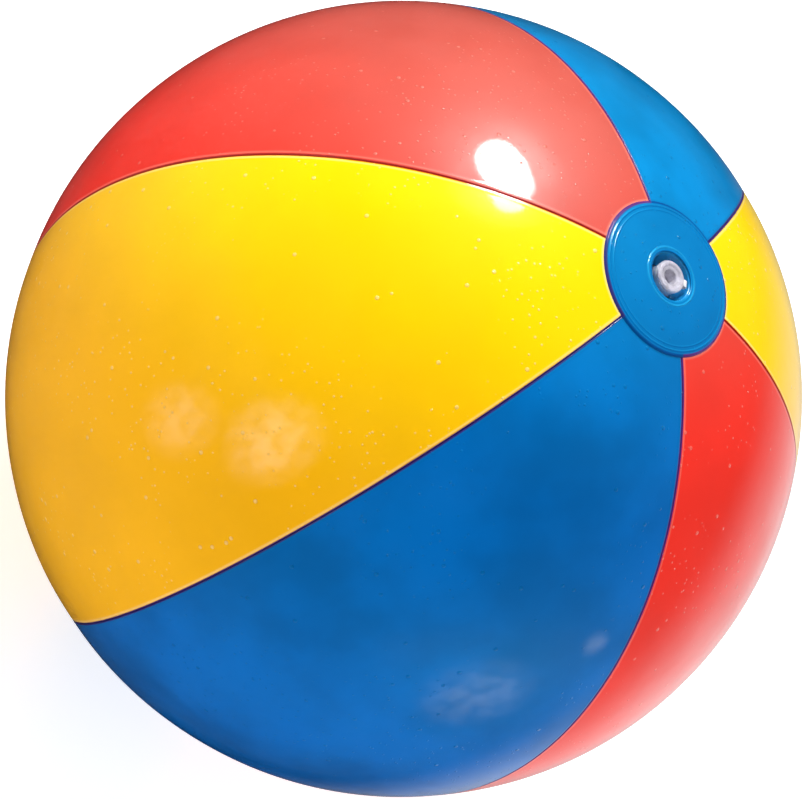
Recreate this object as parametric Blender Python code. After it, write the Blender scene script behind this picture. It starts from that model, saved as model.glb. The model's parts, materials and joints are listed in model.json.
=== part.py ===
"""An inflatable beach ball: six film gores, two round end discs and a push-in valve with a strapped plug.

The origin is the ball's centre and +Z is the pole axis, out through the valve. The ball is inflated, stands on the
flattened patch of its base disc, and its valve is pushed in and plugged. All lengths are in metres.
"""

import math

import bmesh
import bpy
from mathutils import Matrix, Vector

# Film
BALL_RADIUS = 0.165  # the crown of a gore
FILM = 0.0003  # thickness of the vinyl film
GAP = 0.0003  # clearance between separate pieces
AXIS_MERGE = 0.00005  # points nearer than this on the pole axis are one point
SHARP_EDGE = math.radians(40)  # edges that turn more than this are shaded sharp

# Gores
GORE_COUNT = 6
GORE_WIDTH = 2 * math.pi / GORE_COUNT
GORE_COLUMNS = 6  # facets across a gore
GORE_ROWS = 18  # facets along a gore, from one end disc to the other
SEAM_VALLEY = 0.0003  # how far a seam lies below the crown, at the equator
HEM_DEPTH = 0.003  # the weld hem turned in along each side of a gore
TIP_RADIUS = 0.0282  # the round hole that the gore tips leave at each pole

# End discs
DISC_RADIUS = 0.0312
DISC_STEPS = GORE_COUNT * GORE_COLUMNS  # a disc's facets lie over those of the gores
DISC_OUTER = BALL_RADIUS + GAP + FILM  # the sphere of a disc's outer face
DISC_INNER = BALL_RADIUS + GAP
DISC_MIDDLE = 0.02  # a radius between the valve and the rim where the outline needs a point
RIM_BEAD = (0.0283, 0.0298)  # inner and outer radius of the pressed weld ring at the rim
VALVE_BEAD = (0.0109, 0.0123)  # and of the one over the valve's flange
BEAD_HEIGHT = 0.0003
PATCH_RADIUS = 0.018  # the flattened patch that the ball stands on

# Valve flange and web
VALVE_STEPS = 28
DISC_HOLE = 0.0099
FLANGE_IN = 0.0097
FLANGE_OUT = 0.013
FLANGE_THICK = 0.001
WEB_THICK = 0.0005
WEB_DEPTH = 0.0075  # from the flange down to the stem: the stem travels twice this
WEB_TOP_Z = 0.1644

# Stem, pushed in
MOUTH_Z = 0.1639
LIP_RADIUS = 0.0064
LIP_HEIGHT = 0.0015
LIP_CHAMFER = 0.0003
NECK_RADIUS = 0.0058
NECK_DROP = 0.0005
SHOULDER_RADIUS = 0.0069  # where the web meets the stem
SHOULDER_HEIGHT = 0.0008
SHOULDER_Z = WEB_TOP_Z - WEB_DEPTH
TUBE_RADIUS = 0.0055
TUBE_END_Z = SHOULDER_Z - 0.005
BORE_RADIUS = 0.0043

# Plug, its strap and their hinge line
STRAP_AZIMUTH = math.radians(67.5)
CAP_RADIUS = 0.0066
CAP_THICK = 0.0013
CAP_CHAMFER = 0.0004
SPIGOT_TOP_RADIUS = 0.004
SPIGOT_END_RADIUS = 0.0031
SPIGOT_LENGTH = 0.0045
CUP_TOP_RADIUS = 0.003  # the plug is a cup, open at the top
CUP_END_RADIUS = 0.0021
CUP_FLOOR = 0.0009
PLUG_HINGE = Vector((0.0076, 0.0, 0.165))  # in the valve's axes, with +X towards the strap
STRAP_WIDTH = 0.003
STRAP_THICK = 0.0007
STRAP_BEND = 0.0009  # radius of the strap's middle line where it loops back
STRAP_BEND_STEPS = 8
STRAP_LOW_Z = 0.1632

# Check flap
FLAP_RADIUS = 0.005
FLAP_THICK = 0.0006
FLAP_TAB_HALF = 0.0015
FLAP_TAB_END = 0.006
FLAP_HINGE = Vector((-0.0056, 0.0, TUBE_END_Z - GAP - FLAP_THICK / 2))

# Looks: name, colour, roughness, alpha
FILM_ROUGHNESS = 0.2
YELLOW = ("yellow_film", (1.0, 0.72, 0.0), FILM_ROUGHNESS, 1.0)
RED = ("red_film", (0.85, 0.07, 0.04), FILM_ROUGHNESS, 1.0)
BLUE = ("blue_film", (0.0, 0.17, 0.52), FILM_ROUGHNESS, 1.0)
CLEAR = ("clear_vinyl", (0.8, 0.88, 0.92), 0.1, 0.5)

# The gores in their order round the pole axis, and the azimuth of each one's middle in degrees
GORES = (
    ("gore_yellow_a", -90, YELLOW),
    ("gore_blue_a", -30, BLUE),
    ("gore_red_a", 30, RED),
    ("gore_yellow_b", 90, YELLOW),
    ("gore_blue_b", 150, BLUE),
    ("gore_red_b", 210, RED),
)


def clear_scene():
    for obj in list(bpy.data.objects):
        bpy.data.objects.remove(obj)


def material(name, colour, roughness, alpha):
    found = bpy.data.materials.get(name)
    if found:
        return found
    made = bpy.data.materials.new(name)
    made.use_nodes = True
    shader = made.node_tree.nodes["Principled BSDF"]
    shader.inputs["Base Color"].default_value = (*colour, 1.0)
    shader.inputs["Roughness"].default_value = roughness
    shader.inputs["Metallic"].default_value = 0.0
    shader.inputs["Alpha"].default_value = alpha
    return made


def add_object(name, mesh, look):
    obj = bpy.data.objects.new(name, mesh)
    bpy.context.scene.collection.objects.link(obj)
    mesh.materials.append(material(*look))
    return obj


def add_empty(name, place, parent=None):
    empty = bpy.data.objects.new(name, None)
    bpy.context.scene.collection.objects.link(empty)
    empty.location = place
    empty.parent = parent
    return empty


def add_pivot(name, place, valve, pieces):
    """Stands an empty at a pivot, in the valve's axes, and hangs on it pieces that are modelled in those axes."""
    empty = add_empty(name, place, valve)
    for obj in pieces:
        obj.parent = empty
        obj.location = -Vector(place)


def sphere_z(sphere_radius, radius):
    """Height of a sphere about the origin at a radius from the pole axis."""
    return math.sqrt(sphere_radius**2 - radius**2)


def radial(polar, azimuth):
    across = math.sin(polar)
    return Vector((across * math.cos(azimuth), across * math.sin(azimuth), math.cos(polar)))


def turned(name, profile, look, steps, on_axis=False):
    """A solid of revolution. The profile's (radius, z) points run down its outer side; a ring's profile closes."""
    points = [(radius, 0.0, z) for radius, z in profile]
    edges = [(i, i + 1) for i in range(len(points) - 1)]
    if not on_axis:
        edges.append((len(points) - 1, 0))
    mesh = bpy.data.meshes.new(name)
    mesh.from_pydata(points, edges, [])
    obj = add_object(name, mesh, look)
    screw = obj.modifiers.new("turn", "SCREW")
    screw.angle = 2 * math.pi
    screw.steps = steps
    screw.render_steps = steps
    screw.use_merge_vertices = on_axis
    screw.merge_threshold = AXIS_MERGE
    screw.use_smooth_shade = True
    return obj


# Gores


def gore_radius(polar, offset):
    """Radius of a gore's outer face. offset is 0 at the gore's middle and -1 or 1 at its seams."""
    return BALL_RADIUS - SEAM_VALLEY * math.sin(polar) * offset**4


def gore_line(polar):
    """Points across a gore's outer face at one polar angle, from the end of one hem to the end of the other."""
    crown = []
    for column in range(1, GORE_COLUMNS):
        offset = 2 * column / GORE_COLUMNS - 1
        crown.append(radial(polar, offset * GORE_WIDTH / 2) * gore_radius(polar, offset))
    hems = []
    for side in (-1, 1):
        azimuth = side * GORE_WIDTH / 2
        inward = Vector((math.sin(azimuth), -math.cos(azimuth), 0.0)) * side * GAP / 2
        way = radial(polar, azimuth)
        seam_radius = gore_radius(polar, side)
        hems.append((way * (seam_radius - HEM_DEPTH) + inward, way * seam_radius + inward))
    low, high = hems
    return [low[0], low[1], *crown, high[1], high[0]]


def gore(name, middle_degrees, look):
    """One gore's film: a curved sheet from tip to tip with its two hems turned in, thickened inwards."""
    tip = math.asin(TIP_RADIUS / BALL_RADIUS)
    rim = math.asin(DISC_RADIUS / BALL_RADIUS)
    row = (math.pi - 2 * rim) / GORE_ROWS
    polars = [tip, *(rim + row * i for i in range(GORE_ROWS + 1)), math.pi - tip]
    work = bmesh.new()
    lines = [[work.verts.new(point) for point in gore_line(polar)] for polar in polars]
    for upper, lower in zip(lines, lines[1:]):
        for i in range(len(upper) - 1):
            work.faces.new((upper[i], lower[i], lower[i + 1], upper[i + 1]))
    turn = Matrix.Rotation(math.radians(middle_degrees), 3, "Z")
    bmesh.ops.rotate(work, verts=work.verts, cent=(0, 0, 0), matrix=turn)
    mesh = bpy.data.meshes.new(name)
    work.to_mesh(mesh)
    work.free()
    mesh.shade_smooth()
    mesh.set_sharp_from_angle(angle=SHARP_EDGE)
    obj = add_object(name, mesh, look)
    film = obj.modifiers.new("film", "SOLIDIFY")
    film.thickness = FILM
    film.offset = -1
    film.use_even_offset = True
    return obj


# End discs


def disc_outlines(radii, beads):
    """A disc's outer and inner outline from the middle outwards, with a raised point at each bead's middle."""
    lifts = {radius: 0.0 for radius in radii}
    for bead_in, bead_out in beads:
        lifts[bead_in] = 0.0
        lifts[(bead_in + bead_out) / 2] = BEAD_HEIGHT
        lifts[bead_out] = 0.0
    outer = [(radius, sphere_z(DISC_OUTER, radius) + lifts[radius]) for radius in sorted(lifts)]
    inner = [(radius, sphere_z(DISC_INNER, radius) + lifts[radius]) for radius in sorted(lifts)]
    return outer, inner


def valve_disc():
    outer, inner = disc_outlines([DISC_HOLE, DISC_MIDDLE, DISC_RADIUS], [VALVE_BEAD, RIM_BEAD])
    return turned("valve_disc", [*outer, *reversed(inner)], BLUE, DISC_STEPS)


def base_disc():
    """The disc at the far pole, flat over the patch where the ball stands."""
    outer, inner = disc_outlines([PATCH_RADIUS, DISC_RADIUS], [RIM_BEAD])
    patch_z = outer[0][1]
    inner[0] = (PATCH_RADIUS, patch_z - FILM)
    upper = [(0.0, patch_z - FILM), *inner]
    lower = [*reversed(outer), (0.0, patch_z)]
    profile = [(radius, -z) for radius, z in [*upper, *lower]]
    return turned("base_disc", profile, BLUE, DISC_STEPS, on_axis=True)


# Valve


def valve_flange():
    """The ring that is welded under the valve disc."""
    low = sphere_z(BALL_RADIUS, FLANGE_OUT) - FLANGE_THICK
    profile = [
        (FLANGE_IN, sphere_z(BALL_RADIUS, FLANGE_IN)),
        (FLANGE_OUT, sphere_z(BALL_RADIUS, FLANGE_OUT)),
        (FLANGE_OUT, low),
        (FLANGE_IN, low),
    ]
    return turned("valve_flange", profile, CLEAR, VALVE_STEPS)


def valve_web():
    """The flexible cone between the flange and the stem's shoulder. It turns inside out as the stem is pulled out."""
    top = FLANGE_IN - GAP
    foot = SHOULDER_RADIUS + GAP
    profile = [
        (top, WEB_TOP_Z),
        (foot + WEB_THICK, SHOULDER_Z),
        (foot, SHOULDER_Z),
        (top - WEB_THICK, WEB_TOP_Z),
    ]
    return turned("valve_web", profile, CLEAR, VALVE_STEPS)


def valve_stem():
    """The tube: a lip round its mouth, a tapered outside down to the shoulder, and a narrower end for the flap."""
    lip_low = MOUTH_Z - LIP_HEIGHT
    shoulder_low = SHOULDER_Z - SHOULDER_HEIGHT
    profile = [
        (LIP_RADIUS - LIP_CHAMFER, MOUTH_Z),
        (LIP_RADIUS, MOUTH_Z - LIP_CHAMFER),
        (LIP_RADIUS, lip_low),
        (NECK_RADIUS, lip_low - NECK_DROP),
        (SHOULDER_RADIUS, SHOULDER_Z),
        (SHOULDER_RADIUS, shoulder_low),
        (TUBE_RADIUS, shoulder_low),
        (TUBE_RADIUS, TUBE_END_Z),
        (BORE_RADIUS, TUBE_END_Z),
        (BORE_RADIUS, MOUTH_Z - LIP_CHAMFER),
        (BORE_RADIUS + LIP_CHAMFER, MOUTH_Z),
    ]
    return turned("valve_stem", profile, CLEAR, VALVE_STEPS)


def valve_plug():
    """The cap and the tapered spigot that stops the stem's bore, hollowed from the top like a cup."""
    cap_low = MOUTH_Z + GAP
    cap_top = cap_low + CAP_THICK
    profile = [
        (0.0, MOUTH_Z - SPIGOT_LENGTH + CUP_FLOOR),
        (CUP_END_RADIUS, MOUTH_Z - SPIGOT_LENGTH + CUP_FLOOR),
        (CUP_TOP_RADIUS, cap_top),
        (CAP_RADIUS - CAP_CHAMFER, cap_top),
        (CAP_RADIUS, cap_top - CAP_CHAMFER),
        (CAP_RADIUS, cap_low),
        (SPIGOT_TOP_RADIUS, cap_low),
        (SPIGOT_END_RADIUS, MOUTH_Z - SPIGOT_LENGTH),
        (0.0, MOUTH_Z - SPIGOT_LENGTH),
    ]
    return turned("valve_plug", profile, CLEAR, VALVE_STEPS, on_axis=True)


def strap_line():
    """The strap's middle line, in the plane of the strap: out from the lip, round its loop and back to the cap."""
    centre_x = PLUG_HINGE.x - STRAP_BEND / 2
    line = [(LIP_RADIUS + GAP, STRAP_LOW_Z)]
    for i in range(STRAP_BEND_STEPS + 1):
        angle = math.pi * (i / STRAP_BEND_STEPS - 0.5)
        x = centre_x + STRAP_BEND * math.cos(angle)
        line.append((x, STRAP_LOW_Z + STRAP_BEND * (1 + math.sin(angle))))
    line.append((CAP_RADIUS + GAP, STRAP_LOW_Z + 2 * STRAP_BEND))
    return line


def plug_strap():
    """A flat strip swept along the strap's line, thickened to both sides."""
    work = bmesh.new()
    rows = [[work.verts.new((x, side * STRAP_WIDTH / 2, z)) for side in (-1, 1)] for x, z in strap_line()]
    for (a, b), (c, d) in zip(rows, rows[1:]):
        work.faces.new((a, c, d, b))
    mesh = bpy.data.meshes.new("plug_strap")
    work.to_mesh(mesh)
    work.free()
    obj = add_object("plug_strap", mesh, CLEAR)
    strip = obj.modifiers.new("strip", "SOLIDIFY")
    strip.thickness = STRAP_THICK
    strip.offset = 0
    strip.use_even_offset = True
    return obj


def check_flap():
    """A thin round leaf under the stem's end, with a tab out to its hinge line."""
    start = math.asin(FLAP_TAB_HALF / FLAP_RADIUS)
    sweep = 2 * (math.pi - start)
    top = TUBE_END_Z - GAP
    work = bmesh.new()
    outline = [(-FLAP_TAB_END, FLAP_TAB_HALF), (-FLAP_TAB_END, -FLAP_TAB_HALF)]
    for i in range(VALVE_STEPS + 1):
        angle = math.pi + start + sweep * i / VALVE_STEPS
        outline.append((FLAP_RADIUS * math.cos(angle), FLAP_RADIUS * math.sin(angle)))
    face = work.faces.new([work.verts.new((x, y, top)) for x, y in outline])
    made = bmesh.ops.extrude_face_region(work, geom=[face])
    low = [item for item in made["geom"] if isinstance(item, bmesh.types.BMVert)]
    bmesh.ops.translate(work, verts=low, vec=(0.0, 0.0, -FLAP_THICK))
    bmesh.ops.recalc_face_normals(work, faces=work.faces)
    mesh = bpy.data.meshes.new("check_flap")
    work.to_mesh(mesh)
    work.free()
    return add_object("check_flap", mesh, CLEAR)


def main():
    clear_scene()
    for name, middle_degrees, look in GORES:
        gore(name, middle_degrees, look)
    valve_disc()
    base_disc()
    valve_flange()
    valve_web()

    valve = add_empty("valve_axes", (0.0, 0.0, 0.0))
    valve.rotation_euler = (0.0, 0.0, STRAP_AZIMUTH)
    add_pivot("stem_slide", (0.0, 0.0, SHOULDER_Z), valve, [valve_stem()])
    add_pivot("plug_swing", PLUG_HINGE, valve, [valve_plug(), plug_strap()])
    add_pivot("flap_swing", FLAP_HINGE, valve, [check_flap()])


main()
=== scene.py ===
"""Looks of the inflatable beach ball: six vinyl gores, two end discs and a push-in valve with its plug.

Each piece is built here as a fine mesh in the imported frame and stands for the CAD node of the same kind.
All lengths are in metres. The origin is the ball's centre and +Z runs out through the valve.
"""

import json
import math

import bmesh
import bpy
from mathutils import Matrix, Vector, noise


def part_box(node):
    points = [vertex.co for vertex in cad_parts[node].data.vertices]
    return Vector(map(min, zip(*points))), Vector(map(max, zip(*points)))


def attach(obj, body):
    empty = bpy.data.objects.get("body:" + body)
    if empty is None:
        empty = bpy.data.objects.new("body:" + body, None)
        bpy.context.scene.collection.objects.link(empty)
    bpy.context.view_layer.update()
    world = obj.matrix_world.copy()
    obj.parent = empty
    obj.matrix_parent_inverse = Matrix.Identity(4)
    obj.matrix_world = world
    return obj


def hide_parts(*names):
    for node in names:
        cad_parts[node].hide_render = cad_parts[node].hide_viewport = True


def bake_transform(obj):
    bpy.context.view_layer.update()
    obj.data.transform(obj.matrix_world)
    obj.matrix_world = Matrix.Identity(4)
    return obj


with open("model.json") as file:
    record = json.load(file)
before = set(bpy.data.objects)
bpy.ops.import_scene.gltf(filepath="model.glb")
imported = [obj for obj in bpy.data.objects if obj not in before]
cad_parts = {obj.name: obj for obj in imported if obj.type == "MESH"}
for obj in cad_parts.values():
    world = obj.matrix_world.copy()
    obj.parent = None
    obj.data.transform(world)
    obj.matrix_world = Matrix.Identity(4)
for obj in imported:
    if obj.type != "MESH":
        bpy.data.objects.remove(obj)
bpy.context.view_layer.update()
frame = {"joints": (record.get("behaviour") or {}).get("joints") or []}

MM = 0.001

# Film, from the frame
BALL_RADIUS = -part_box("gore_yellow_a")[0].y
TIP_RADIUS = math.sqrt(BALL_RADIUS**2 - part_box("gore_yellow_a")[1].z ** 2)
DISC_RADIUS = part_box("valve_disc")[1].x
FLOOR_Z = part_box("base_disc")[0].z
FILM = 0.3 * MM

# Gores
GORE_WIDTH = math.pi / 3
GORE_ROWS = 150
GORE_COLUMNS = 46
SEAM_VALLEY = 0.3 * MM  # how far a seam lies below the crown, at the equator
VALLEY_POWER = 4  # a high power keeps the valley close to the seam
SEAM_GAP = 0.06 * MM  # half the gap between two hems
SHOULDER = 0.42 * MM  # radius of the bend from the film into its hem
SHOULDER_STEPS = 5
HEM_DEPTH = 3.0 * MM
NEAR_SEAM = (3.6 * MM, 2.6 * MM, 1.95 * MM, 1.5 * MM, 1.15 * MM, 0.85 * MM, 0.65 * MM)
WELD_RIDGE = 0.05 * MM  # the slight bead beside each weld
WELD_RIDGE_AT = 1.3 * MM
WELD_RIDGE_WIDTH = 0.5 * MM
INK_FULL = 0.45 * MM  # a weld's dark line: full up to here from the seam, and gone at INK_END
INK_END = 0.85 * MM
HALO_AT = 1.2 * MM  # the painted highlight line beside the dark one
HALO_WIDTH = 1.3 * MM
HALO_SHARE = 0.4  # how far that painted highlight line, and the painted pale fringe beside a disc's edge, take on the halo colour
DROP_GLINT_SHARE = 0.32  # how far a drop takes on the same colour, a painted glint

# The film's slight unevenness
SWELL = 0.10 * MM
SWELL_LENGTH = 0.06
PUCKER = 0.035 * MM
PUCKER_LENGTH = 0.011
PUCKER_REACH = 0.010
PUCKER_SHIFT = Vector((7.0, 3.0, 5.0))  # so that the puckers don't follow the swell

# End discs
DISC_STEPS = 240
DISC_LIFT = 0.6 * MM  # the disc's outer face over the gores' crown
DISC_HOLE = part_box("valve_web")[1].x + 0.5 * MM
# Pressed rings as (middle, width, height)
RIM_RINGS = ((29.05 * MM, 1.2 * MM, 0.22 * MM), (27.3 * MM, 0.9 * MM, 0.12 * MM))
VALVE_RING = (11.7 * MM, 1.3 * MM, 0.22 * MM)
RING_REACH = 1.5 * MM  # half the finely drawn band at the valve's ring
RIM_BAND = 26.3 * MM  # from here out the disc is drawn finely
FINE_STEP = 0.12 * MM
COARSE_STEP = 0.8 * MM
LAST_STEP = 0.04 * MM  # the step to the rim, after a step at least 0.01 mm long
LAST_GAP = 0.05 * MM
BASE_MIDDLE = 1.0 * MM  # the base disc's innermost ring of points
EDGE_DROP = 0.5 * MM
EDGE_TURN = 0.6 * MM  # how far in from the rim the edge starts to turn down
DISC_INK_FULL = 0.8 * MM  # the rim's dark line, as for a weld
DISC_INK_END = 1.4 * MM
PALE_RING_SHARE = 0.7
PALE_RING_SPREAD = 1.4  # the pale ring's width, in widths of the pressed ring
PALE_RING_END = 15.0 * MM  # farther out a disc has only its rim's line

# Films. Light and shade are painted into each film's colour: it goes from the painted shade colour to the
# painted light colour as the side turns to the key light. Rise is where that starts and ends, on a scale from
# 0, away from the light, to 1. Sheen tints the broad gloss, halo is the colour of the painted highlight line
# beside a weld, and mottle is how far the colour wanders.
FILMS = {
    "yellow": {
        "painted_shade": (0.99, 0.47, 0.004),
        "painted_light": (0.99, 0.65, 0.0),
        "rise": (0.5, 0.85),
        "sheen": (1.0, 0.48, 0.03),
        "halo": (1.0, 0.83, 0.45),
        "mottle": 0.04,
    },
    "red": {
        "painted_shade": (0.90, 0.016, 0.003),
        "painted_light": (0.55, 0.080, 0.055),
        "rise": (0.68, 1.0),
        "sheen": (0.1, 0.90, 0.88),
        "halo": (0.95, 0.30, 0.22),
        "mottle": 0.05,
    },
    "blue": {
        "painted_shade": (0.0, 0.118, 0.45),
        "painted_light": (0.0, 0.205, 0.50),
        "rise": (0.6, 1.0),
        "sheen": (0.0, 1.0, 1.0),
        "halo": (0.0, 0.13, 0.36),
        "mottle": 0.18,
    },
}
WELD_COLOURS = {
    frozenset(("yellow", "blue")): (0.035, 0.012, 0.17),
    frozenset(("red", "blue")): (0.10, 0.010, 0.17),
    frozenset(("yellow", "red")): (0.42, 0.008, 0.004),
    frozenset(("blue",)): (0.0, 0.055, 0.26),
}
PALE_RING = (0.01, 0.30, 0.62)
# Gores as (name, degrees from +X to its middle, film)
GORES = (
    ("yellow_a", -90, "yellow"),
    ("blue_a", -30, "blue"),
    ("red_a", 30, "red"),
    ("yellow_b", 90, "yellow"),
    ("blue_b", 150, "blue"),
    ("red_b", 210, "red"),
)


# Mesh helpers


def radial(polar, azimuth):
    across = math.sin(polar)
    return Vector((across * math.cos(azimuth), across * math.sin(azimuth), math.cos(polar)))


def sphere_z(sphere_radius, radius):
    return math.sqrt(sphere_radius**2 - radius**2)


def bump(at, middle, width):
    """A smooth rise from 0 to 1 and back over the given width."""
    share = abs(at - middle) / (width / 2)
    return 0.0 if share >= 1 else (1 + math.cos(math.pi * share)) / 2


def fade(at, full, end):
    """1 up to full, 0 from end, smooth between."""
    share = min(1.0, max(0.0, (end - at) / (end - full)))
    return share * share * (3 - 2 * share)


def unevenness(point, seam_distance):
    """How far the film stands off its true shape: a broad swell, and small puckers beside a seam."""
    swell = SWELL * noise.noise(point / SWELL_LENGTH)
    pucker = PUCKER * noise.noise(point / PUCKER_LENGTH + PUCKER_SHIFT)
    return swell + pucker * math.exp(-seam_distance / PUCKER_REACH)


def add_object(name, data):
    obj = bpy.data.objects.new(name, data)
    bpy.context.scene.collection.objects.link(obj)
    return obj


def add_mesh(name, points, faces, tints=None):
    mesh = bpy.data.meshes.new(name)
    mesh.from_pydata(points, [], faces)
    mesh.shade_smooth()
    if tints:
        layer = mesh.color_attributes.new("tint", "FLOAT_COLOR", "POINT")
        for item, tint in zip(layer.data, tints):
            item.color = tint
    return add_object(name, mesh)


def grid_faces(rows, columns, close_columns=False):
    """The faces between points that are laid out row by row."""
    faces = []
    for i in range(rows - 1):
        for j in range(columns if close_columns else columns - 1):
            here, below, right = i * columns, (i + 1) * columns, (j + 1) % columns
            faces.append((here + j, below + j, below + right, here + right))
    return faces


def turned(name, outline, steps, tint_of=None):
    """A solid of revolution of a closed (radius, z) outline that runs clockwise.

    A point at radius 0 is made once and shared by its whole ring.
    """
    points, rings, tints = [], [], []
    for radius, z in outline:
        count = 1 if radius == 0 else steps
        ring = range(len(points), len(points) + count)
        rings.append(ring)
        for k in range(count):
            azimuth = 2 * math.pi * k / steps
            points.append((radius * math.cos(azimuth), radius * math.sin(azimuth), z))
            if tint_of:
                tints.append(tint_of(radius, azimuth))
    faces = []
    for upper, lower in zip(rings, [*rings[1:], rings[0]]):
        for k in range(steps):
            nxt = (k + 1) % steps
            if len(upper) == 1 and len(lower) == 1:
                break
            if len(upper) == 1:
                faces.append((upper[0], lower[k], lower[nxt]))
            elif len(lower) == 1:
                faces.append((upper[k], lower[0], upper[nxt]))
            else:
                faces.append((upper[k], lower[k], lower[nxt], upper[nxt]))
    return add_mesh(name, points, faces, tints)


def filleted(corners):
    """A closed outline of (radius, z, fillet) corners with each corner rounded by its fillet."""
    steps = 5
    line = []
    count = len(corners)
    for i, (x, z, fillet) in enumerate(corners):
        here = Vector((x, z))
        if fillet == 0:
            line.append((x, z))
            continue
        before = (Vector(corners[i - 1][:2]) - here).normalized()
        after = (Vector(corners[(i + 1) % count][:2]) - here).normalized()
        half = before.angle(after) / 2
        cut = fillet / math.tan(half)
        centre = here + (before + after).normalized() * fillet / math.sin(half)
        start, end = here + before * cut - centre, here + after * cut - centre
        for k in range(steps + 1):
            way = start.slerp(end, k / steps)
            line.append(tuple(centre + way * fillet))
    return line


# Gores


def gore_columns(half):
    """(Arc distance from the middle, drop below the film) of a gore's columns, from hem to hem."""
    edge = half - NEAR_SEAM[0]
    middle = [(edge * (2 * i / GORE_COLUMNS - 1), 0.0) for i in range(1, GORE_COLUMNS)]
    side = [(half - distance, 0.0) for distance in NEAR_SEAM]
    for k in range(SHOULDER_STEPS + 1):
        turn = math.pi / 2 * k / SHOULDER_STEPS
        side.append((half - SEAM_GAP - SHOULDER * (1 - math.sin(turn)), SHOULDER * (1 - math.cos(turn))))
    side.append((half - SEAM_GAP, (SHOULDER + HEM_DEPTH) / 2))
    side.append((half - SEAM_GAP, HEM_DEPTH))
    left = [(-x, drop) for x, drop in reversed(side)]
    return [*left, *middle, *side]


def gore(key, middle_degrees, film, left_film, right_film):
    middle = math.radians(middle_degrees)
    tip = math.asin(TIP_RADIUS / BALL_RADIUS)
    points, tints = [], []
    for row in range(GORE_ROWS + 1):
        polar = tip + (math.pi - 2 * tip) * row / GORE_ROWS
        across = BALL_RADIUS * math.sin(polar)
        half = across * GORE_WIDTH / 2
        for x, drop in gore_columns(half):
            distance = half - abs(x)
            way = radial(polar, middle + x / across)
            radius = BALL_RADIUS - SEAM_VALLEY * math.sin(polar) * (x / half) ** VALLEY_POWER
            radius += WELD_RIDGE * bump(distance, WELD_RIDGE_AT, 2 * WELD_RIDGE_WIDTH)
            radius += unevenness(way * BALL_RADIUS, distance) - drop
            points.append(way * radius)
            tints.append(weld_tint(film, left_film if x < 0 else right_film, distance + drop))
    faces = grid_faces(GORE_ROWS + 1, len(points) // (GORE_ROWS + 1))
    obj = add_mesh(f"gore_film_{key}", points, faces, tints)
    film_thickness(obj)
    finish_piece(obj, f"gore_{key}", FILM_MATERIALS[film], "ball")


def weld_tint(film, other_film, distance):
    """The tint at a distance from a seam: the weld's dark line, and the painted highlight line beside it."""
    if distance < INK_END:
        return (*WELD_COLOURS[frozenset((film, other_film))], fade(distance, INK_FULL, INK_END))
    # Painted highlight: the pale line in the halo colour beside the weld.
    return (*FILMS[film]["halo"], HALO_SHARE * bump(distance, HALO_AT, HALO_WIDTH))


def film_thickness(obj):
    """Gives an open sheet the film's thickness, inwards."""
    solid = obj.modifiers.new("film", "SOLIDIFY")
    solid.thickness = FILM
    solid.offset = -1
    solid.use_even_offset = False


def finish_piece(obj, node, look, body=None):
    """Gives a piece its material, hides the CAD node it stands for, and ties it to its body if one is given.
    """
    obj.data.materials.append(look)
    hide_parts(node)
    if body:
        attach(obj, body)


# End discs


def disc_face(radius, rings):
    """Height of a disc's outer face: a sphere with pressed rings, turned down at its edge on to the gores."""
    z = sphere_z(BALL_RADIUS + DISC_LIFT, radius)
    for middle, width, height in rings:
        z += height * bump(radius, middle, width)
    edge = fade(DISC_RADIUS - radius, 0.0, EDGE_TURN)
    return z - EDGE_DROP * edge


def disc_radii(first):
    """Radii from first to the rim: coarse over plain film, and fine over the rings and at the edge."""
    radii = []
    radius = first
    while radius < DISC_RADIUS - LAST_GAP:
        radii.append(radius)
        fine = radius > RIM_BAND or abs(radius - VALVE_RING[0]) < RING_REACH
        radius += FINE_STEP if fine else COARSE_STEP
    return [*radii, DISC_RADIUS - LAST_STEP, DISC_RADIUS]


def disc_tint(pale):
    """The tint of a disc's points: a dark line at the rim and, if pale, a pale ring round the valve."""

    def tint(radius, azimuth):
        if pale and radius < PALE_RING_END:
            middle, width = VALVE_RING[:2]
            return (*PALE_RING, PALE_RING_SHARE * bump(radius, middle, PALE_RING_SPREAD * width))
        degrees = math.degrees(azimuth)
        under = min(GORES, key=lambda g: abs((degrees - g[1] + 180) % 360 - 180))[2]
        ink = fade(DISC_RADIUS - radius, DISC_INK_FULL, DISC_INK_END)
        return (*WELD_COLOURS[frozenset(("blue", under))], ink)

    return tint


def valve_disc():
    rings = [VALVE_RING, *RIM_RINGS]
    outer = [(radius, disc_face(radius, rings)) for radius in disc_radii(DISC_HOLE)]
    inner = [(radius, z - FILM) for radius, z in reversed(outer)]
    obj = turned("valve_disc_film", [*outer, *inner], DISC_STEPS, disc_tint(pale=True))
    finish_piece(obj, "valve_disc", FILM_MATERIALS["blue"], "ball")


def base_disc():
    """The disc that the ball stands on, pressed flat where it meets the floor."""
    face = [(radius, min(-FLOOR_Z, disc_face(radius, RIM_RINGS))) for radius in disc_radii(BASE_MIDDLE)]
    outer = [(0.0, -FLOOR_Z), *face]
    inner = [(radius, z - FILM) for radius, z in reversed(outer)]
    upside_down = [(radius, -z) for radius, z in reversed([*outer, *inner])]
    obj = turned("base_disc_film", upside_down, DISC_STEPS, disc_tint(pale=False))
    finish_piece(obj, "base_disc", FILM_MATERIALS["blue"], "ball")


# Valve

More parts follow.
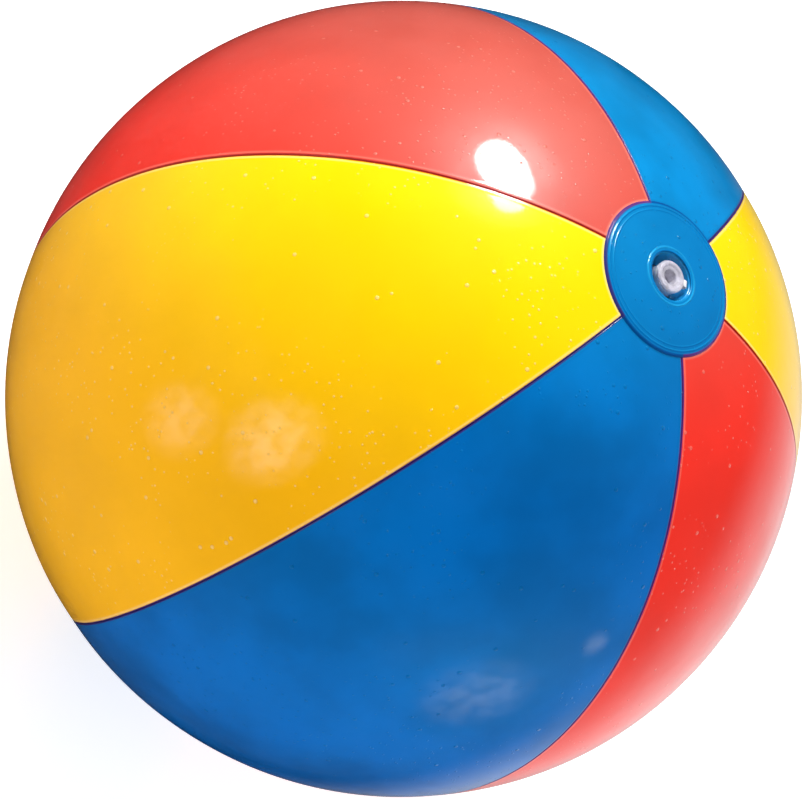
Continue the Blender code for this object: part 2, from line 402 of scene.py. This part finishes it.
VALVE_STEPS = 96
FLANGE_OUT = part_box("valve_flange")[1].x
FLANGE_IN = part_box("valve_web")[1].x + 0.3 * MM
WEB_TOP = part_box("valve_web")[1].z
WEB_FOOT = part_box("valve_web")[0].z
STEM_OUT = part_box("valve_stem")[1].x  # the shoulder, which the web meets
MOUTH_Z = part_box("valve_stem")[1].z
STEM_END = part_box("valve_stem")[0].z
BORE = 4.3 * MM
SWING_AXIS = next(joint["axis"] for joint in frame["joints"] if joint["name"] == "plug_swing")
STRAP_TURN = math.atan2(-SWING_AXIS[0], SWING_AXIS[1])  # from +X to the strap's side of the valve
STRAP_HINGE = 7.6 * MM  # how far out the strap bends


def valve_flange():
    high = sphere_z(BALL_RADIUS, FLANGE_OUT) - 0.02 * MM
    low = high - 1.0 * MM
    corners = [
        (FLANGE_IN, high + 0.15 * MM, 0.2 * MM),
        (FLANGE_OUT, high, 0.2 * MM),
        (FLANGE_OUT, low, 0.3 * MM),
        (FLANGE_IN, low, 0.2 * MM),
    ]
    obj = turned("valve_flange_ring", filleted(corners), VALVE_STEPS)
    finish_piece(obj, "valve_flange", TINTED_VINYL, "ball")


def valve_web():
    """A thin cone that sags between the flange and the stem's shoulder."""
    steps = 28
    sag_depth = 0.5 * MM
    lift = 0.1 * MM
    out_side, in_side = 0.2 * MM, 0.3 * MM
    top_radius, foot_radius = FLANGE_IN + 0.15 * MM, STEM_OUT + 0.55 * MM
    outer, inner = [], []
    for i in range(steps + 1):
        share = i / steps
        radius = top_radius + (foot_radius - top_radius) * share + sag_depth * math.sin(math.pi * share)
        z = WEB_TOP + lift + (WEB_FOOT - WEB_TOP) * share
        outer.append((radius + out_side, z))
        inner.append((radius - in_side, z))
    obj = turned("valve_web_cone", [*outer, *reversed(inner)], VALVE_STEPS)
    finish_piece(obj, "valve_web", TINTED_VINYL)
    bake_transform(obj)


def valve_stem():
    lip, neck, tube = 6.4 * MM, 5.8 * MM, 5.5 * MM
    lip_low = MOUTH_Z - 1.5 * MM
    shoulder_low = WEB_FOOT - 0.8 * MM
    corners = [
        (BORE, MOUTH_Z, 0.35 * MM),
        (lip, MOUTH_Z, 0.5 * MM),
        (lip, lip_low, 0.3 * MM),
        (neck, lip_low - 0.5 * MM, 0.3 * MM),
        (STEM_OUT, WEB_FOOT, 0.3 * MM),
        (STEM_OUT, shoulder_low, 0.2 * MM),
        (tube, shoulder_low, 0.2 * MM),
        (tube, STEM_END, 0.3 * MM),
        (BORE, STEM_END, 0.3 * MM),
    ]
    obj = turned("valve_stem_tube", filleted(corners), VALVE_STEPS)
    finish_piece(obj, "valve_stem", CLEAR_VINYL, "stem")


def valve_plug():
    """A cap with a rounded rim and a spigot with a retaining bead, hollowed from the top like a cup."""
    cap = 6.6 * MM
    low = MOUTH_Z + 0.3 * MM
    top = low + 1.4 * MM
    tip = MOUTH_Z - 4.5 * MM
    corners = [
        (0.0, tip + 0.9 * MM, 0),
        (2.1 * MM, tip + 0.9 * MM, 0.5 * MM),
        (3.0 * MM, top - 0.9 * MM, 0.6 * MM),
        (4.2 * MM, top - 0.7 * MM, 0.5 * MM),
        (4.9 * MM, top, 0.5 * MM),
        (6.1 * MM, top - 0.05 * MM, 0.55 * MM),
        (cap, low + 0.55 * MM, 0.4 * MM),
        (cap - 0.25 * MM, low, 0.2 * MM),
        (4.0 * MM, low, 0.2 * MM),
        (3.85 * MM, low - 1.2 * MM, 0.3 * MM),
        (4.0 * MM, low - 2.3 * MM, 0.5 * MM),
        (3.6 * MM, low - 3.1 * MM, 0.5 * MM),
        (3.1 * MM, tip, 0.5 * MM),
        (0.0, tip, 0),
    ]
    obj = turned("valve_plug_cap", filleted(corners), VALVE_STEPS)
    finish_piece(obj, "valve_plug", PLUG_VINYL, "plug")


def swept_strip(name, line, width, thick):
    """A flat strip with rounded edges along an xz line, turned to the strap's side of the valve."""
    corner_steps = 4
    turn = Matrix.Rotation(STRAP_TURN, 3, "Z")
    rim = thick / 2
    loop = []
    for side in (1, -1):
        for k in range(2 * corner_steps + 1):
            angle = math.pi / 2 - math.pi * k / (2 * corner_steps)
            y = side * (width / 2 - rim + rim * math.cos(angle))
            loop.append((y, side * rim * math.sin(angle)))
    points = []
    for i, (x, z) in enumerate(line):
        before, after = line[max(0, i - 1)], line[min(len(line) - 1, i + 1)]
        along = Vector((after[0] - before[0], after[1] - before[1])).normalized()
        up = Vector((-along.y, along.x))
        for y, lift in loop:
            points.append(turn @ Vector((x + up.x * lift, y, z + up.y * lift)))
    count = len(loop)
    faces = grid_faces(len(line), count, close_columns=True)
    faces.append(tuple(range(count - 1, -1, -1)))
    last = (len(line) - 1) * count
    faces.append(tuple(range(last, last + count)))
    work = bmesh.new()
    mesh = bpy.data.meshes.new(name)
    mesh.from_pydata(points, [], faces)
    work.from_mesh(mesh)
    bmesh.ops.recalc_face_normals(work, faces=work.faces)
    work.to_mesh(mesh)
    work.free()
    mesh.shade_smooth()
    mesh.set_sharp_from_angle(angle=math.radians(50))
    return add_object(name, mesh)


def plug_strap():
    """A strap from the stem's lip out to the hinge, round a half turn and back to the cap."""
    width, thick = 3.0 * MM, 0.7 * MM
    steps = 16
    bend = 0.9 * MM
    low = MOUTH_Z - 0.7 * MM
    middle = STRAP_HINGE - bend / 2
    line = [(6.1 * MM, low), (6.6 * MM, low)]
    for i in range(steps + 1):
        angle = math.pi * (i / steps - 0.5)
        line.append((middle + bend * math.cos(angle), low + bend * (1 + math.sin(angle))))
    line += [(6.7 * MM, low + 2 * bend), (6.2 * MM, low + 2 * bend)]
    obj = swept_strip("plug_strap_loop", line, width, thick)
    finish_piece(obj, "plug_strap", STRAP_VINYL)
    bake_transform(obj)


def check_flap():
    """A round leaf with a tab, with a rounded edge all round."""
    low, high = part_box("check_flap")[0].z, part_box("check_flap")[1].z
    radius, tab_half, tab_end = 5.0 * MM, 1.5 * MM, 6.0 * MM
    steps = 60
    start = math.asin(tab_half / radius)
    outline = [(-tab_end, tab_half), (-tab_end, -tab_half)]
    for i in range(steps + 1):
        angle = math.pi + start + (2 * math.pi - 2 * start) * i / steps
        outline.append((radius * math.cos(angle), radius * math.sin(angle)))
    turn = Matrix.Rotation(STRAP_TURN, 3, "Z")
    points = [turn @ Vector((x, y, z)) for z in (low, high) for x, y in outline]
    count = len(outline)
    faces = [tuple(reversed(range(count))), tuple(range(count, 2 * count))]
    for i in range(count):
        nxt = (i + 1) % count
        faces.append((i, nxt, count + nxt, count + i))
    obj = add_mesh("check_flap_leaf", points, faces)
    obj.data.set_sharp_from_angle(angle=math.radians(40))
    rounding = obj.modifiers.new("rounding", "BEVEL")
    rounding.width = 0.18 * MM
    rounding.segments = 3
    finish_piece(obj, "check_flap", CLEAR_VINYL, "flap")


# Materials

NOISE_SPAN = (0.3, 0.7)  # a noise texture's values lie mostly between these
MOTTLE_SIZE = 0.05
SMEAR_SIZE = 0.03
PATCH_SIZE = 0.05  # the small drops stand in patches
PATCH_SPAN = (0.42, 0.62)
SMALL_DROPS = (3.2 * MM, 0.5 * MM, 3.0)  # spacing, radius and seed
LARGE_DROPS = (9.0 * MM, 0.85 * MM, 11.0)
DROP_RELIEF = 0.35  # a drop's height in the relief, as a share of a round dome's
DROP_GLINT_FULL = 0.4 * MM  # a dome this high has the full colour of its painted glint
PEEL_SIZE = 2.5 * MM  # the film's fine unevenness
PEEL_HEIGHT = 0.008 * MM
FILM_ROUGHNESS = (0.42, 0.55)
COAT_ROUGHNESS = (0.05, 0.09)
COAT_WEIGHT = 0.8
DISC_HALO_END = DISC_RADIUS + 0.3 * MM  # where the painted pale fringe beside a disc's edge starts to fade

VINYL_IOR = 1.45
VINYL_COAT_ROUGHNESS = 0.05
VINYL_SHADE = 0.8  # the darkest of the haze
VINYL_ROUGHNESS = (0.7, 1.4)  # the haze's least and most roughness, in shares of the material's own
HAZE_SIZE = 2.2 * MM
HAZE_SPAN = (0.35, 0.65)
DIMPLE_SIZE = 1.4 * MM
DIMPLE = 0.12 * MM

FLOOR_PATCH_SIZE = 0.4
FLOOR_SHADE = (0.86, 0.9)
FLOOR_GLOW = 0.6


class Nodes:
    """Short calls for building one material's node tree."""

    def __init__(self, name):
        self.material = bpy.data.materials.new(name)
        self.material.use_nodes = True
        self.tree = self.material.node_tree
        self.shader = self.tree.nodes["Principled BSDF"]

    def add(self, kind, settings=None, **inputs):
        node = self.tree.nodes.new(kind)
        for key, value in (settings or {}).items():
            setattr(node, key, value)
        for key, value in inputs.items():
            self.put(node.inputs[key.replace("_", " ")], value)
        return node

    def put(self, socket, value):
        if isinstance(value, bpy.types.NodeSocket):
            self.tree.links.new(value, socket)
        else:
            socket.default_value = value

    def math(self, operation, first, second=0.0, clamp=False):
        node = self.tree.nodes.new("ShaderNodeMath")
        node.operation = operation
        node.use_clamp = clamp
        self.put(node.inputs[0], first)
        self.put(node.inputs[1], second)
        return node.outputs[0]

    def mix(self, share, first, second, blend="MIX"):
        node = self.tree.nodes.new("ShaderNodeMix")
        node.data_type = "RGBA"
        node.blend_type = blend
        self.put(node.inputs[0], share)
        self.put(node.inputs[6], first)
        self.put(node.inputs[7], second)
        return node.outputs[2]

    def spread(self, value, low, high, from_low=0.0, from_high=1.0):
        """Low up to from_low, high from from_high on, and smooth between."""
        node = self.add("ShaderNodeMapRange", Value=value)
        node.interpolation_type = "SMOOTHSTEP"
        node.inputs["From Min"].default_value = from_low
        node.inputs["From Max"].default_value = from_high
        node.inputs["To Min"].default_value = low
        node.inputs["To Max"].default_value = high
        return node.outputs[0]

    def noise(self, where, size, detail=2.0):
        node = self.add("ShaderNodeTexNoise", Vector=where, Scale=1 / size, Detail=detail)
        return node.outputs[0]


def droplet_height(nodes, where, spacing, radius, seed):
    """Low round domes, scattered where random points in space come near the surface."""
    moved = nodes.add("ShaderNodeVectorMath", {"operation": "ADD"})
    nodes.put(moved.inputs[0], where)
    moved.inputs[1].default_value = (seed, seed * 0.7, -seed)
    cells = nodes.add("ShaderNodeTexVoronoi", Vector=moved.outputs[0], Scale=1 / spacing)
    away = nodes.math("MULTIPLY", cells.outputs["Distance"], spacing)
    inside = nodes.math("SUBTRACT", radius**2, nodes.math("MULTIPLY", away, away))
    return nodes.math("SQRT", nodes.math("MAXIMUM", inside, 0.0))


def towards_light(nodes):
    """0 where the surface faces away from the key light, and 1 where it faces it."""
    facing = nodes.add("ShaderNodeVectorMath", {"operation": "DOT_PRODUCT"})
    nodes.put(facing.inputs[0], nodes.add("ShaderNodeNewGeometry").outputs["Normal"])
    facing.inputs[1].default_value = KEY_WAY
    return nodes.math("MULTIPLY", nodes.math("ADD", facing.outputs["Value"], 1.0), 0.5)


def axis_distance(nodes, where):
    """How far a point is from the ball's axis."""
    across = nodes.add("ShaderNodeVectorMath", {"operation": "MULTIPLY"})
    nodes.put(across.inputs[0], where)
    across.inputs[1].default_value = (1.0, 1.0, 0.0)
    away = nodes.add("ShaderNodeVectorMath", {"operation": "LENGTH"})
    nodes.put(away.inputs[0], across.outputs[0])
    return away.outputs["Value"]


def film_colour(nodes, where, painted_shade, painted_light, rise, mottle):
    """The plain film's colour: painted shade or painted light by the way its side faces the key light, and
    mottled.
    """
    colour = nodes.add("ShaderNodeVectorMath", {"operation": "SCALE"})
    # Painted light and shade: the share of the lit colour follows how far the side faces the key light.
    lit = nodes.spread(towards_light(nodes), 0.0, 1.0, *rise)
    blotches = nodes.noise(where, MOTTLE_SIZE, detail=4.0)
    patchy = nodes.spread(blotches, 1.0 - mottle, 1.0 + mottle, *NOISE_SPAN)
    nodes.put(colour.inputs[0], nodes.mix(lit, (*painted_shade, 1.0), (*painted_light, 1.0)))
    nodes.put(colour.inputs["Scale"], patchy)
    return colour.outputs[0]


def raise_surface(nodes, height, sockets):
    """Bends the shading by a height in metres."""
    relief = nodes.add("ShaderNodeBump", Height=height)
    relief.inputs["Distance"].default_value = 1.0
    for socket in sockets:
        nodes.put(nodes.shader.inputs[socket], relief.outputs[0])


def film_material(name, painted_shade, painted_light, rise, sheen, halo, mottle):
    """Glossy vinyl film with its weld lines, a painted pale fringe beside the discs' edges, smears, and drops
    with painted glints.
    """
    nodes = Nodes(name)
    where = nodes.add("ShaderNodeTexCoord").outputs["Object"]
    plain = film_colour(nodes, where, painted_shade, painted_light, rise, mottle)
    # Painted highlight: a pale fringe in the halo colour just outside a disc's edge.
    painted_fringe = nodes.spread(axis_distance(nodes, where), HALO_SHARE, 0.0, DISC_HALO_END, DISC_RADIUS + HALO_AT)
    fringe_painted = nodes.mix(painted_fringe, plain, (*halo, 1.0))
    patches = nodes.spread(nodes.noise(where, PATCH_SIZE, detail=1.0), 0.0, 1.0, *PATCH_SPAN)
    small = nodes.math("MULTIPLY", droplet_height(nodes, where, *SMALL_DROPS), patches)
    large = droplet_height(nodes, where, *LARGE_DROPS)
    # Painted highlight: each drop is painted toward the halo colour as a glint.
    painted_drop_glint = nodes.spread(nodes.math("MAXIMUM", small, large), 0.0, DROP_GLINT_SHARE, 0.0, DROP_GLINT_FULL)
    drop_glinted = nodes.mix(painted_drop_glint, fringe_painted, (*halo, 1.0))
    tint = nodes.add("ShaderNodeAttribute", {"attribute_name": "tint"})
    inked = nodes.mix(tint.outputs["Alpha"], drop_glinted, tint.outputs["Color"])
    nodes.put(nodes.shader.inputs["Base Color"], inked)

    smear = nodes.noise(where, SMEAR_SIZE, detail=5.0)
    nodes.put(nodes.shader.inputs["Roughness"], nodes.spread(smear, *FILM_ROUGHNESS, *NOISE_SPAN))
    nodes.shader.inputs["Specular Tint"].default_value = (*sheen, 1.0)
    nodes.shader.inputs["Coat Weight"].default_value = COAT_WEIGHT
    nodes.put(nodes.shader.inputs["Coat Roughness"], nodes.spread(smear, *COAT_ROUGHNESS, *NOISE_SPAN))

    drops = nodes.math("MULTIPLY", nodes.math("ADD", small, large), DROP_RELIEF)
    peel = nodes.math("MULTIPLY", nodes.noise(where, PEEL_SIZE), PEEL_HEIGHT)
    raise_surface(nodes, nodes.math("ADD", drops, peel), ("Normal", "Coat Normal"))
    return nodes.material


def vinyl_material(name, colour, transmission, roughness, dimple=DIMPLE):
    """Moulded clear vinyl: a soft haze and small surface dimples."""
    nodes = Nodes(name)
    where = nodes.add("ShaderNodeTexCoord").outputs["Object"]
    haze = nodes.noise(where, HAZE_SIZE, detail=4.0)
    darker = tuple(c * VINYL_SHADE for c in colour)
    shade = nodes.mix(nodes.spread(haze, 0.0, 1.0, *HAZE_SPAN), (*colour, 1.0), (*darker, 1.0))
    nodes.put(nodes.shader.inputs["Base Color"], shade)
    uneven = nodes.spread(haze, *(roughness * share for share in VINYL_ROUGHNESS), *NOISE_SPAN)
    nodes.put(nodes.shader.inputs["Roughness"], uneven)
    nodes.shader.inputs["Transmission Weight"].default_value = transmission
    nodes.shader.inputs["IOR"].default_value = VINYL_IOR
    nodes.shader.inputs["Coat Weight"].default_value = COAT_WEIGHT
    nodes.shader.inputs["Coat Roughness"].default_value = VINYL_COAT_ROUGHNESS
    dimples = nodes.math("MULTIPLY", nodes.noise(where, DIMPLE_SIZE, detail=3.0), dimple)
    raise_surface(nodes, dimples, ("Normal",))
    return nodes.material


def floor_material():
    """A pale floor with a glow that only the camera sees."""
    nodes = Nodes("pale_floor")
    where = nodes.add("ShaderNodeTexCoord").outputs["Object"]
    shade = nodes.spread(nodes.noise(where, FLOOR_PATCH_SIZE), *FLOOR_SHADE, *NOISE_SPAN)
    grey = nodes.add("ShaderNodeCombineColor", Red=shade, Green=shade, Blue=shade)
    nodes.put(nodes.shader.inputs["Base Color"], grey.outputs[0])
    nodes.shader.inputs["Roughness"].default_value = 0.8
    nodes.shader.inputs["Specular IOR Level"].default_value = 0.1
    seen = nodes.add("ShaderNodeLightPath").outputs["Is Camera Ray"]
    nodes.shader.inputs["Emission Color"].default_value = (1.0, 1.0, 1.0, 1.0)
    nodes.put(nodes.shader.inputs["Emission Strength"], nodes.math("MULTIPLY", seen, FLOOR_GLOW))
    nodes.material.cycles.emission_sampling = "NONE"
    return nodes.material


# Stage: camera, lights and floor

VIEW_AZIMUTH = math.radians(18.95)
VIEW_ELEVATION = math.radians(47.6)
VIEW_ROLL = math.radians(65.44)
VIEW_DISTANCE = 1.307
VIEW_LENS = 139.6
VIEW_SENSOR = 36.0
VIEW_AIM = (0.16 * MM, -0.5 * MM)  # the aim, right and up of the ball's centre

SKY_DIFFUSE = 0.36
SKY_GLOSSY = 0.02
CARD_CORE = 0.2  # a card's even middle, as a share of its half width
CARD_STREAKS = 3.5  # how fine a broken card's streaks are
STREAK_SPAN = (0.35, 0.6)
STREAK_LOW = 0.25  # what a streak leaves of the card's strength
LAMP_DISTANCE = 1.6
GLINT_DISTANCE = 1.5  # nearer, as lamps at one distance hide one another in the gloss
FLOOR_HALF = 4.0
FLOOR_DROP = 0.1 * MM  # keeps the floor just clear of the base disc


def camera_axes():
    """The camera's right, up and back directions."""
    sin_a, cos_a = math.sin(VIEW_AZIMUTH), math.cos(VIEW_AZIMUTH)
    sin_e, cos_e = math.sin(VIEW_ELEVATION), math.cos(VIEW_ELEVATION)
    back = Vector((sin_a * cos_e, -cos_a * cos_e, sin_e))
    level = Vector((cos_a, sin_a, 0.0))
    turn = Matrix.Rotation(VIEW_ROLL, 3, back)
    right = turn @ level
    return right, back.cross(right), back


def add_camera():
    right, up, back = camera_axes()
    data = bpy.data.cameras.new("view_camera")
    data.lens = VIEW_LENS
    data.sensor_width = VIEW_SENSOR
    data.clip_start = 0.05
    data.clip_end = 50.0
    camera = add_object("view_camera", data)
    place = right * VIEW_AIM[0] + up * VIEW_AIM[1] + back * VIEW_DISTANCE
    rotation = Matrix((right, up, back)).transposed()
    camera.matrix_world = Matrix.Translation(place) @ rotation.to_4x4()
    bpy.context.scene.camera = camera


def from_view(across, upward, towards):
    """A direction given in the camera's axes, as a direction in the frame."""
    right, up, back = camera_axes()
    return (right * across + up * upward + back * towards).normalized()


def facing_ball(way):
    """The rotation of a lamp or card seen from the ball in a given direction.

    Its height runs towards the camera.
    """
    height = (camera_axes()[2] - way * way.dot(camera_axes()[2])).normalized()
    return Matrix((height.cross(way), height, way)).transposed().to_quaternion()


def add_panel(name, way, width, height, radiance, mirrored=False):
    """An oval soft light of a given radiance, which either lights the ball or is mirrored in its gloss."""
    data = bpy.data.lights.new(name, "AREA")
    data.shape = "ELLIPSE"
    data.size = width
    data.size_y = height
    area = math.pi * width * height / 4
    data.energy = radiance * math.pi * area
    lamp = add_object(name, data)
    lamp.location = way * (GLINT_DISTANCE if mirrored else LAMP_DISTANCE)
    lamp.rotation_mode = "QUATERNION"
    lamp.rotation_quaternion = facing_ball(way)
    lamp.visible_camera = False
    lamp.visible_diffuse = not mirrored
    lamp.visible_glossy = mirrored


def streaked(tree, where, strength):
    """A card's strength, broken by streaks."""
    streaks = tree.nodes.new("ShaderNodeTexNoise")
    streaks.inputs["Scale"].default_value = CARD_STREAKS
    tree.links.new(where, streaks.inputs["Vector"])
    uneven = tree.nodes.new("ShaderNodeMapRange")
    uneven.inputs["From Min"].default_value = STREAK_SPAN[0]
    uneven.inputs["From Max"].default_value = STREAK_SPAN[1]
    uneven.inputs["To Min"].default_value = STREAK_LOW
    tree.links.new(streaks.outputs[0], uneven.inputs["Value"])
    product = tree.nodes.new("ShaderNodeMath")
    product.operation = "MULTIPLY"
    tree.links.new(strength, product.inputs[0])
    tree.links.new(uneven.outputs[0], product.inputs[1])
    return product.outputs[0]


def card_material(name, radiance, broken):
    """A glowing card, brightest at its middle and gone at its edge, plain or broken by streaks."""
    material = bpy.data.materials.new(name)
    material.use_nodes = True
    tree = material.node_tree
    tree.nodes.clear()
    where = tree.nodes.new("ShaderNodeTexCoord")
    away = tree.nodes.new("ShaderNodeVectorMath")
    away.operation = "LENGTH"
    tree.links.new(where.outputs["Object"], away.inputs[0])
    fall = tree.nodes.new("ShaderNodeMapRange")
    fall.interpolation_type = "SMOOTHSTEP"
    fall.inputs["From Min"].default_value = CARD_CORE
    fall.inputs["To Min"].default_value = radiance
    fall.inputs["To Max"].default_value = 0.0
    tree.links.new(away.outputs["Value"], fall.inputs["Value"])
    strength = fall.outputs[0]
    if broken:
        strength = streaked(tree, where.outputs["Object"], strength)
    glow = tree.nodes.new("ShaderNodeEmission")
    tree.links.new(strength, glow.inputs["Strength"])
    out = tree.nodes.new("ShaderNodeOutputMaterial")
    tree.links.new(glow.outputs[0], out.inputs["Surface"])
    material.cycles.emission_sampling = "NONE"
    return material


def add_card(name, way, width, height, radiance, broken=False):
    """A soft-edged white card that only the film's gloss sees."""
    card = add_mesh(name, [(-1, -1, 0), (1, -1, 0), (1, 1, 0), (-1, 1, 0)], [(0, 1, 2, 3)])
    card.data.materials.append(card_material(f"{name}_glow", radiance, broken))
    card.scale = (width / 2, height / 2, 1)
    card.rotation_mode = "QUATERNION"
    card.rotation_quaternion = facing_ball(way)
    card.location = way * LAMP_DISTANCE
    card.visible_camera = False
    card.visible_diffuse = False
    card.visible_shadow = False
    card.visible_transmission = False


def add_sky():
    """White for the camera, a soft light on the pieces, and almost dark in their gloss."""
    world = bpy.data.worlds.new("studio_sky")
    world.use_nodes = True
    tree = world.node_tree
    background = tree.nodes["Background"]
    path = tree.nodes.new("ShaderNodeLightPath")
    pick_camera = tree.nodes.new("ShaderNodeMix")
    pick_glossy = tree.nodes.new("ShaderNodeMix")
    tree.links.new(path.outputs["Is Glossy Ray"], pick_glossy.inputs[0])
    pick_glossy.inputs[2].default_value = SKY_DIFFUSE
    pick_glossy.inputs[3].default_value = SKY_GLOSSY
    tree.links.new(path.outputs["Is Camera Ray"], pick_camera.inputs[0])
    tree.links.new(pick_glossy.outputs[0], pick_camera.inputs[2])
    pick_camera.inputs[3].default_value = 1.0
    tree.links.new(pick_camera.outputs[0], background.inputs["Strength"])
    background.inputs["Color"].default_value = (1.0, 1.0, 1.0, 1.0)
    world.cycles.sampling_method = "NONE"
    bpy.context.scene.world = world


def add_floor():
    half = FLOOR_HALF
    z = FLOOR_Z - FLOOR_DROP
    corners = [(-half, -half, z), (half, -half, z), (half, half, z), (-half, half, z)]
    floor = add_mesh("floor", corners, [(0, 1, 2, 3)])
    floor.data.materials.append(floor_material())
    floor.visible_glossy = False


def add_stage():
    add_camera()
    add_sky()
    add_floor()
    add_panel("key", KEY_WAY, 0.9, 0.9, 17.0)
    add_panel("glint_upper", from_view(0.350, 0.880, 0.325), 0.27, 0.41, 26.0, mirrored=True)
    add_panel("glint_middle", from_view(0.386, 0.848, 0.364), 0.27, 0.42, 24.0, mirrored=True)
    add_panel("glint_lower", from_view(0.418, 0.806, 0.418), 0.24, 0.38, 24.0, mirrored=True)
    add_panel("front_fill", from_view(-0.2, -0.4, 0.9), 1.6, 1.6, 0.6)
    add_panel("low_fill", from_view(0.1, -0.97, -0.2), 2.2, 2.2, 6.0)
    add_panel("left_fill", from_view(-0.95, 0.0, 0.3), 2.4, 2.4, 2.0)
    add_panel("right_fill", from_view(0.95, -0.15, 0.25), 2.4, 2.4, 0.4)
    add_card("pale_wall", from_view(0.50, -0.35, -0.79), 2.7, 2.6, 1.05)
    add_card("glint_halo", KEY_WAY, 0.8, 1.15, 2.6)
    add_card("window_near", from_view(-0.564, -0.184, 0.805), 0.75, 1.0, 4.2, broken=True)
    add_card("cloud_large", from_view(0.243, -0.970, -0.002), 0.8, 0.9, 1.5, broken=True)
    add_card("cloud_small", from_view(0.618, -0.784, -0.062), 0.2, 0.3, 2.2, broken=True)
    add_card("window_far", from_view(-0.876, -0.082, 0.475), 0.6, 0.85, 2.8, broken=True)
    bpy.context.scene.view_settings.view_transform = "Standard"


KEY_WAY = from_view(0.384, 0.862, 0.35)
FILM_MATERIALS = {film: film_material(f"{film}_vinyl_film", **looks) for film, looks in FILMS.items()}
CLEAR_VINYL = vinyl_material("clear_vinyl_moulding", (0.86, 0.92, 1.0), 0.5, 0.15)
PLUG_VINYL = vinyl_material("plug_vinyl_moulding", (0.92, 0.89, 1.0), 0.5, 0.08, dimple=0.5 * MM)
STRAP_VINYL = vinyl_material("strap_vinyl_moulding", (0.95, 0.95, 1.0), 0.1, 0.15)
# The web's and flange's blue is painted paler, as painted light against the shade in the valve's recess.
TINTED_VINYL = vinyl_material("blue_tinted_vinyl", (0.02, 0.38, 0.85), 0.1, 0.2)


def main():
    for i, (key, degrees, film) in enumerate(GORES):
        left_film = GORES[i - 1][2]
        right_film = GORES[(i + 1) % len(GORES)][2]
        gore(key, degrees, film, left_film, right_film)
    valve_disc()
    base_disc()
    valve_flange()
    valve_web()
    valve_stem()
    valve_plug()
    plug_strap()
    check_flap()
    add_stage()


main()
